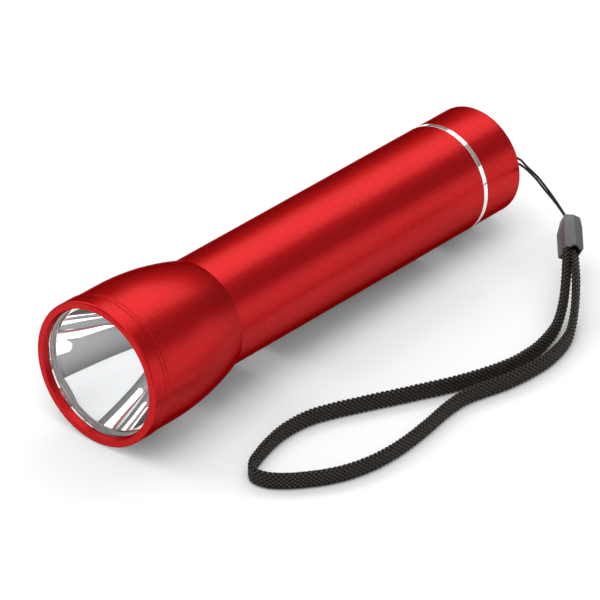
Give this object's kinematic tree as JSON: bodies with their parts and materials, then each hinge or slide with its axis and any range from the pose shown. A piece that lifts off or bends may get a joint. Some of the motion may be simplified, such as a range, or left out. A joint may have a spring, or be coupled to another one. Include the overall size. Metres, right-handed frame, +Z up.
{
  "type": "flashlight",
  "caption": "Cylindrical metal hand flashlight with a flared head, screw-on bezel and tail cap, tail push button, and a braided wrist lanyard on a thin string.",
  "frame": {"origin": "on the floor under the middle of the torch, which lies on its side; the lanyard is not counted", "axes": "+Y along the torch from lens to tail cap, +Z up, +X towards the lanyard"},
  "size_m": [0.073, 0.1336, 0.0341],
  "materials": {
    "red_anodised": "satin bead-blasted and anodised red",
    "bright_trim": "polished",
    "clear_lens": "clear polished",
    "black_rubber": "matte",
    "pale_rubber": "smooth silicone",
    "mirror_reflector": "smooth vacuum-metallised",
    "white_plastic": "moulded",
    "led_ceramic": "fine ceramic",
    "led_silicone": "clear over yellow",
    "white_board": "white solder mask on a metal core",
    "green_board": "green solder mask",
    "wire_plastic": "extruded wire sleeve",
    "brass": "turned",
    "gold_contact": "gold plated",
    "steel": "nickel plated",
    "black_plastic": "moulded",
    "cell_wrap": "plain dark wrap with bare ends",
    "bare_aluminium": "turned",
    "black_string": "twisted cord",
    "black_braid": "flat woven braid",
    "grey_clip": "moulded, fine satin"
  },
  "bodies": {
    "tail": {"tail_cap": "red_anodised", "tail_o_ring": "black_rubber", "switch_retainer": "bare_aluminium", "switch_board": "green_board", "switch_spring": "gold_contact", "switch_body": "black_plastic", "switch_holder": "black_plastic", "lanyard_pin": "steel", "lanyard_string": "black_string", "clip_cover": "grey_clip", "clip_base": "grey_clip", "wrist_strap": "black_braid"},
    "button": {"switch_plunger": "white_plastic", "tail_button": "black_rubber"},
    "trim": {"trim_ring": "bright_trim"},
    "barrel": {"barrel_tube": "red_anodised", "head_shell": "red_anodised", "head_o_ring": "black_rubber", "reflector": "mirror_reflector", "led_centring_ring": "white_plastic", "led_package": "led_ceramic", "led_dome": "led_silicone", "led_board": "white_board", "led_wires": "wire_plastic", "led_pill": "brass", "driver_board": "green_board", "driver_parts": "black_plastic", "driver_spring": "gold_contact", "carrier_front_disc": "black_plastic", "carrier_rear_disc": "black_plastic", "carrier_posts": "black_plastic", "carrier_front_contact": "gold_contact", "carrier_rear_contact": "gold_contact", "carrier_springs": "steel", "carrier_screws": "steel", "cell_1": "cell_wrap", "cell_2": "cell_wrap", "cell_3": "cell_wrap"},
    "lens_pack": {"lens": "clear_lens", "lens_gasket": "pale_rubber"},
    "bezel": {"bezel_ring": "red_anodised"}
  },
  "joints": [
    {"name": "button_press", "type": "slide", "parent": "tail", "child": "button", "axis": [0, -0.9995, 0.0323], "range_m": [0, 0.0015], "stiffness_N_per_m": 1500},
    {"name": "cap_travel", "type": "slide", "parent": "tail", "child": "trim", "axis": [0, -0.9995, 0.0323], "range_m": [0, 0.006]},
    {"name": "cap_unscrew", "type": "hinge", "parent": "trim", "child": "barrel", "pos_m": [0, -0.06475, 0.01716], "axis": [0, -0.9995, 0.0323], "range_deg": [0, 1441]},
    {"name": "bezel_travel", "type": "slide", "parent": "barrel", "child": "lens_pack", "axis": [0, -0.9995, 0.0323], "range_m": [0, 0.003]},
    {"name": "bezel_unscrew", "type": "hinge", "parent": "lens_pack", "child": "bezel", "pos_m": [0, -0.06475, 0.01716], "axis": [0, -0.9995, 0.0323], "range_deg": [0, 1441]}
  ],
  "couplings": [
    {"joint": "cap_unscrew", "follows": "cap_travel", "rad_per_m": 4188.8},
    {"joint": "bezel_unscrew", "follows": "bezel_travel", "rad_per_m": 8377.6}
  ]
}
